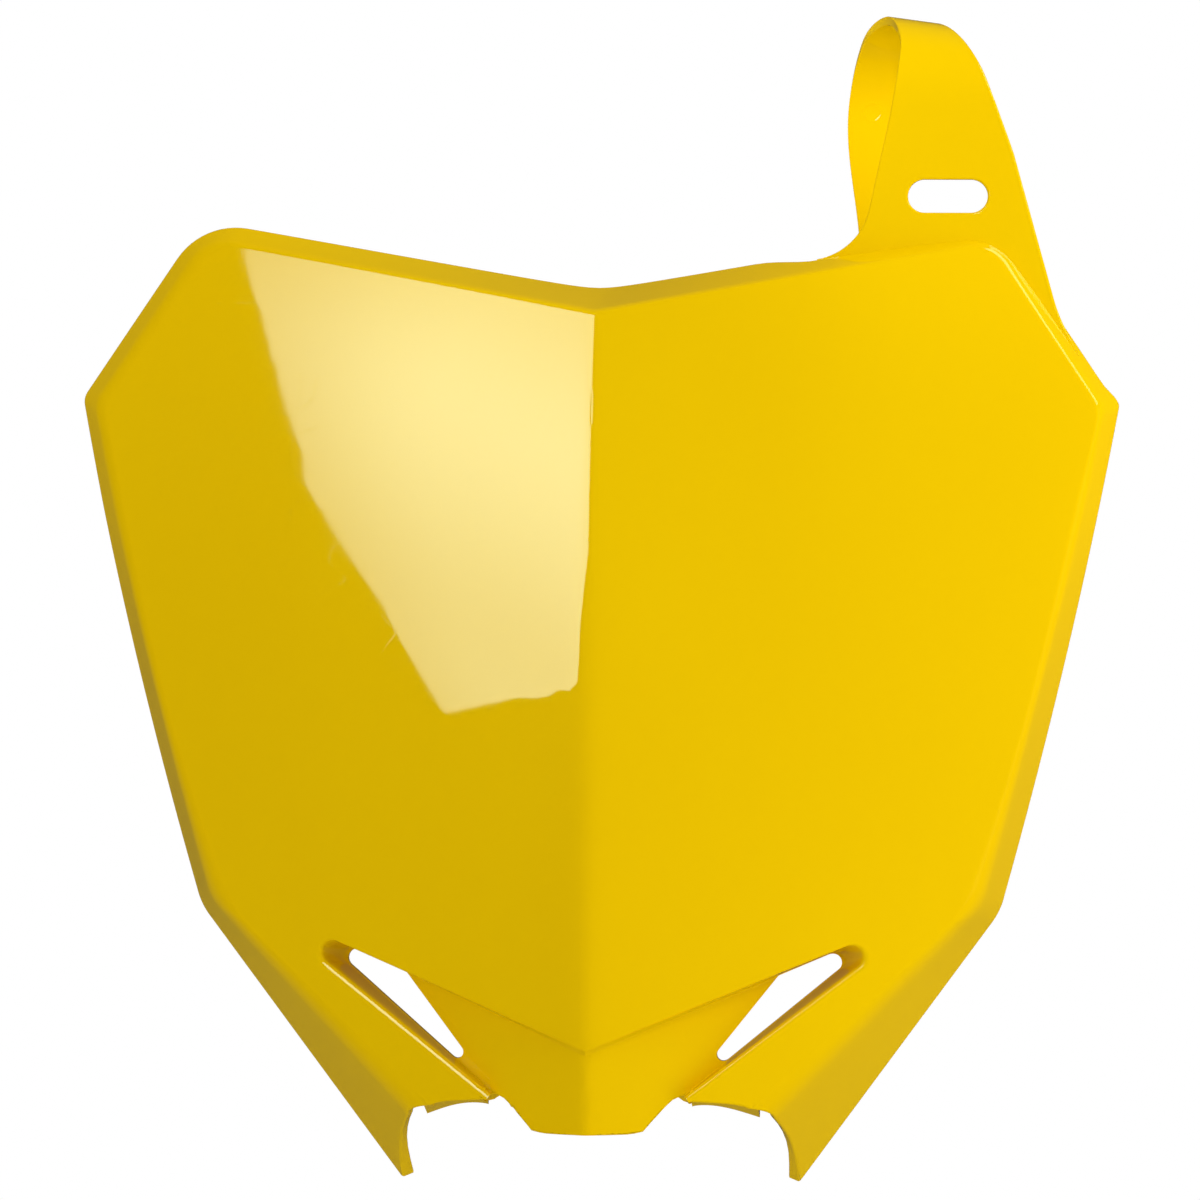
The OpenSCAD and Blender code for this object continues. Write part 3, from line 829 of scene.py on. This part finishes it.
class Nodes:
    """Short calls that add nodes to one material and link them."""

    def __init__(self, material):
        self.nodes = material.node_tree.nodes
        self.links = material.node_tree.links

    def put(self, node, socket, value):
        if isinstance(value, bpy.types.NodeSocket):
            self.links.new(value, node.inputs[socket])
        else:
            node.inputs[socket].default_value = value

    def math(self, operation, a, b=0.0):
        node = self.nodes.new("ShaderNodeMath")
        node.operation = operation
        self.put(node, 0, a)
        self.put(node, 1, b)
        return node.outputs[0]

    def noise(self, place, scale, detail):
        node = self.nodes.new("ShaderNodeTexNoise")
        self.put(node, "Vector", place)
        self.put(node, "Scale", scale)
        self.put(node, "Detail", detail)
        return node.outputs["Fac"]

    def between(self, value, low, high, at_low, at_high):
        """Runs smoothly from one value to another between two limits."""
        node = self.nodes.new("ShaderNodeMapRange")
        node.interpolation_type = "SMOOTHSTEP"
        self.put(node, "Value", value)
        self.put(node, "From Min", low)
        self.put(node, "From Max", high)
        self.put(node, "To Min", at_low)
        self.put(node, "To Max", at_high)
        return node.outputs["Result"]

    def turned(self, place, turn, stretch):
        node = self.nodes.new("ShaderNodeMapping")
        self.put(node, "Vector", place)
        self.put(node, "Rotation", turn)
        self.put(node, "Scale", stretch)
        return node.outputs["Vector"]

    def split(self, vector):
        node = self.nodes.new("ShaderNodeSeparateXYZ")
        self.put(node, "Vector", vector)
        return node.outputs

    def line(self, value, at, width):
        """One along a thin line where the value passes a level, and nothing elsewhere."""
        gap = self.math("ABSOLUTE", self.math("SUBTRACT", value, at))
        return self.between(gap, 0.0, width, 1.0, 0.0)


def plastic():
    """Yellow polypropylene, glossy in front and satin behind."""
    material, nodes, links = new_material("yellow_plastic")
    n = Nodes(material)
    shader = nodes["Principled BSDF"]
    coordinates = nodes.new("ShaderNodeTexCoord")
    place = coordinates.outputs["Object"]
    facing = n.split(coordinates.outputs["Normal"])["Y"]
    inside = n.between(facing, 0.1, 0.5, 0.0, 1.0)

    # Uneven colour from the moulding's flow
    flow = n.noise(n.turned(place, (0.0, 0.3, 0.0), (1.0, 1.0, 0.4)), FLOW_SCALE, 3.0)
    colour = nodes.new("ShaderNodeMix")
    colour.data_type = "RGBA"
    n.put(colour, "Factor", n.between(flow, 0.3, 0.7, 0.0, 1.0))
    colour.inputs[MIX_A].default_value = (*YELLOW, 1)
    colour.inputs[MIX_B].default_value = (*YELLOW_DEEP, 1)
    links.new(colour.outputs[MIX_RESULT], shader.inputs["Base Color"])

    # Hairline scratches, only here and there
    winding = n.noise(n.turned(place, (0.0, 0.9, 0.0), (1.0, 1.0, 0.25)), WINDING_SCALE, 1.0)
    crossing = n.noise(n.turned(place, (0.0, -0.6, 0.0), (0.3, 1.0, 1.0)), CROSSING_SCALE, 1.0)
    patches = n.between(n.noise(place, PATCH_SCALE, 1.0), *SCRATCH_PATCHES, 0.0, 0.5)
    scratch = n.math("MAXIMUM", n.line(winding, 0.5, 0.004), n.line(crossing, 0.52, 0.003))
    scratch = n.math("MULTIPLY", scratch, patches)

    # The mould's ejector left a ring on the inside of the strap's rear
    nearness = nodes.new("ShaderNodeVectorMath")
    nearness.operation = "DISTANCE"
    n.put(nearness, 0, n.turned(place, (0.0, 0.0, 0.0), (1.0, 0.0, 1.0)))
    n.put(nearness, 1, EJECTOR_MARK)
    ring = n.line(nearness.outputs["Value"], EJECTOR_R, EJECTOR_LINE)
    behind = n.math("GREATER_THAN", n.split(place)["Y"], 0.02)
    ahead = n.math("LESS_THAN", facing, -0.5)
    ring = n.math("MULTIPLY", ring, n.math("MULTIPLY", behind, ahead))

    # Gloss: mirror-smooth face, satin inside, dulled by handling along the edges
    pointed = nodes.new("ShaderNodeNewGeometry").outputs["Pointiness"]
    edge = n.between(pointed, *EDGE_POINTED, 0.0, EDGE_DULL)
    cloud = n.between(n.noise(place, CLOUD_SCALE, 4.0), 0.35, 0.7, *FACE_GLOSS)
    rough = n.math("ADD", cloud, n.math("MULTIPLY", inside, INSIDE_DULL))
    rough = n.math("ADD", rough, n.math("MULTIPLY", scratch, SCRATCH_DULL))
    rough = n.math("ADD", rough, edge)
    links.new(rough, shader.inputs["Roughness"])
    shader.inputs["Specular IOR Level"].default_value = 0.5

    # Bumps: faint orange peel, scratches cut in, the ring raised
    peel = n.math("MULTIPLY", n.noise(place, PEEL_SCALE, 2.0), PEEL_HEIGHT)
    height = n.math("SUBTRACT", peel, n.math("MULTIPLY", scratch, SCRATCH_DEPTH))
    height = n.math("ADD", height, ring)
    bump = nodes.new("ShaderNodeBump")
    bump.inputs["Distance"].default_value = BUMP_DISTANCE
    bump.inputs["Strength"].default_value = BUMP_STRENGTH
    links.new(height, bump.inputs["Height"])
    links.new(bump.outputs["Normal"], shader.inputs["Normal"])
    return material


plate.data.materials.append(plastic())


# Floor, world, lamps and camera
FLOOR_REACH = 1.5
FLOOR_Z = -0.35


def add_floor():
    bm = bmesh.new()
    bmesh.ops.create_grid(bm, x_segments=1, y_segments=1, size=FLOOR_REACH)
    bmesh.ops.translate(bm, vec=Vector((0, 0, FLOOR_Z)), verts=bm.verts)
    floor = add_object("floor", bm)
    material, nodes, _ = new_material("floor_paint")
    shader = nodes["Principled BSDF"]
    shader.inputs["Base Color"].default_value = (0.9, 0.9, 0.9, 1)
    shader.inputs["Roughness"].default_value = 0.8
    floor.data.materials.append(material)
    floor.visible_glossy = False


add_floor()


MIRROR_AHEAD = -0.3
MIRROR_BEHIND = 0.5


def add_world(fill, front, back):
    """White to the camera; soft grey light on the object, and mirrored darker ahead of it."""
    world = bpy.data.worlds.new("studio")
    world.use_nodes = True
    bpy.context.scene.world = world
    nodes, links = world.node_tree.nodes, world.node_tree.links
    path = nodes.new("ShaderNodeLightPath")
    background = nodes["Background"]
    background.inputs["Color"].default_value = (1, 1, 1, 1)
    place = nodes.new("ShaderNodeTexCoord")
    split = nodes.new("ShaderNodeSeparateXYZ")
    links.new(place.outputs["Generated"], split.inputs["Vector"])
    mirrored = nodes.new("ShaderNodeMapRange")
    mirrored.interpolation_type = "SMOOTHSTEP"
    mirrored.inputs["From Min"].default_value = MIRROR_AHEAD
    mirrored.inputs["From Max"].default_value = MIRROR_BEHIND
    mirrored.inputs["To Min"].default_value = front
    mirrored.inputs["To Max"].default_value = back
    links.new(split.outputs["Y"], mirrored.inputs["Value"])
    lit = nodes.new("ShaderNodeMix")
    lit.data_type = "FLOAT"
    lit.inputs["A"].default_value = fill
    links.new(path.outputs["Is Glossy Ray"], lit.inputs["Factor"])
    links.new(mirrored.outputs["Result"], lit.inputs["B"])
    strength = nodes.new("ShaderNodeMix")
    strength.data_type = "FLOAT"
    strength.inputs["B"].default_value = 1
    links.new(path.outputs["Is Camera Ray"], strength.inputs["Factor"])
    links.new(lit.outputs["Result"], strength.inputs["A"])
    links.new(strength.outputs["Result"], background.inputs["Strength"])


add_world(0.375, 0.02, 0.055)


AIM_TOP = 0.25


def add_lamp(name, place, power, width, height):
    """A soft rectangle of light aimed at the board, which reflections don't see."""
    light = bpy.data.lights.new(name, "AREA")
    light.shape = "RECTANGLE"
    light.energy = power
    light.size = width
    light.size_y = height
    lamp = bpy.data.objects.new(name, light)
    lamp.location = place
    aim = Vector((0, 0, min(place[2], AIM_TOP))) - Vector(place)
    lamp.rotation_mode = "QUATERNION"
    lamp.rotation_quaternion = aim.to_track_quat("-Z", "Y")
    lamp.visible_camera = False
    lamp.visible_glossy = False
    bpy.context.scene.collection.objects.link(lamp)
    return lamp


add_lamp("key", (0.35, -0.12, 0.2), 1.28, 0.3, 0.8)
add_lamp("fill", (-0.8, -1.9, 0.1), 11.3, 0.8, 1.2)
add_lamp("top", (0.1, -0.15, 1.0), 2.9, 1.0, 0.8)

# Two strips on the right, seen only in reflections along the rounded edges
STRIPS = (("high_strip", 1.45, 16.0, 1.6), ("low_strip", 0, 0.3, 1.2))
STRIP_WIDTH = 0.6
STRIP_TINT = (1, 0.93, 0.5)
for name, height, power, length in STRIPS:
    strip = add_lamp(name, (1.3, -0.5, height), power, STRIP_WIDTH, length)
    strip.data.color = STRIP_TINT
    strip.visible_glossy = True
    strip.visible_diffuse = False


def add_beam(name, place, aim, power, degrees):
    """A soft narrow beam that reflections don't see."""
    light = bpy.data.lights.new(name, "SPOT")
    light.energy = power
    light.spot_size = math.radians(degrees)
    light.spot_blend = 1
    light.shadow_soft_size = 0.02
    beam = bpy.data.objects.new(name, light)
    beam.location = place
    beam.rotation_mode = "QUATERNION"
    beam.rotation_quaternion = (Vector(aim) - Vector(place)).to_track_quat("-Z", "Y")
    beam.visible_glossy = False
    beam.visible_camera = False
    bpy.context.scene.collection.objects.link(beam)


add_beam("loop_beam", (-0.35, -0.25, 0.40), (0.066, 0.034, 0.262), 5.5, 8)
add_beam("tab_beam", (0.15, -1.2, 0.5), (0.085, -0.006, 0.262), 6.0, 7)

# The softbox that shines back from the left half of the face: a tall card with a low corner
SOFTBOX_Y = -1.5
SOFTBOX_MIDDLE = (-0.62, SOFTBOX_Y, 0.9)
SOFTBOX_TINT = (0.78, 1.0, 0.83)
SOFTBOX_REACH = 0.7
SOFTBOX_RIM = 0.68
SOFTBOX_SLANT = 0.35
SOFTBOX_FADE = (-1.10, -0.96)
SOFTBOX_DIM = 0.45
SOFTBOX_CORNERS = (
    (-0.50, 1.90),
    (-0.73, 0.93),
    (-0.765, 0.80),
    (-0.83, 0.58),
    (-0.86, 0.50),
    (-0.925, 0.26),
    (-1.005, 0.025),
    (-0.90, 0.155),
    (-0.82, 0.225),
    (-0.565, 0.26),
    (-0.45, 0.40),
    (-0.12, 0.60),
    (-0.12, 1.90),
)


def add_softbox(strength):
    """A glowing panel that only reflections see."""
    bm = bmesh.new()
    bm.faces.new([bm.verts.new((x, SOFTBOX_Y, z)) for x, z in SOFTBOX_CORNERS])
    card = add_object("softbox", bm)
    material, nodes, links = new_material("softbox_glow")
    glow = nodes.new("ShaderNodeEmission")
    place = nodes.new("ShaderNodeTexCoord")
    away = nodes.new("ShaderNodeVectorMath")
    away.operation = "DISTANCE"
    away.inputs[1].default_value = SOFTBOX_MIDDLE
    links.new(place.outputs["Object"], away.inputs[0])
    n = Nodes(material)
    middle = n.between(
        away.outputs["Value"], 0.0, SOFTBOX_REACH, strength, SOFTBOX_RIM * strength
    )
    at = n.split(place.outputs["Object"])
    from_left = n.math("SUBTRACT", at["X"], n.math("MULTIPLY", at["Z"], SOFTBOX_SLANT))
    side = n.between(from_left, *SOFTBOX_FADE, SOFTBOX_DIM, 1.0)
    links.new(n.math("MULTIPLY", middle, side), glow.inputs["Strength"])
    glow.inputs["Color"].default_value = (*SOFTBOX_TINT, 1)
    links.new(glow.outputs["Emission"], nodes["Material Output"].inputs["Surface"])
    card.data.materials.append(material)
    card.visible_camera = False
    card.visible_diffuse = False
    card.visible_transmission = False
    card.visible_volume_scatter = False
    card.visible_shadow = False


add_softbox(9.4)


# The photograph's viewing angle, and its distance and frame in millimetres
VIEW_YAW = 4.0
VIEW_ROLL = 0.35
VIEW_DISTANCE = 1500.0
VIEW_HEIGHT = 142.9
VIEW_WIDTH = 290.9
SENSOR = 36
PHOTO_PIXELS = 1200
SHIFT_RIGHT = 2.3 / PHOTO_PIXELS
SHIFT_UP = -0.9 / PHOTO_PIXELS


def add_camera():
    camera = bpy.data.cameras.new("camera")
    camera.sensor_width = SENSOR
    camera.lens = SENSOR * VIEW_DISTANCE / VIEW_WIDTH
    camera.clip_start = 0.1
    camera.clip_end = 20
    camera.shift_x = SHIFT_RIGHT
    camera.shift_y = SHIFT_UP
    made = bpy.data.objects.new("camera", camera)
    yaw = math.radians(VIEW_YAW)
    made.location = Vector((
        VIEW_DISTANCE * math.sin(yaw), MID_DEPTH - VIEW_DISTANCE * math.cos(yaw), VIEW_HEIGHT
    )) * MM
    made.rotation_euler = (math.pi / 2, -math.radians(VIEW_ROLL), yaw)
    made.rotation_mode = "XYZ"
    bpy.context.scene.collection.objects.link(made)
    bpy.context.scene.camera = made


add_camera()

bpy.context.scene.view_settings.view_transform = "Standard"
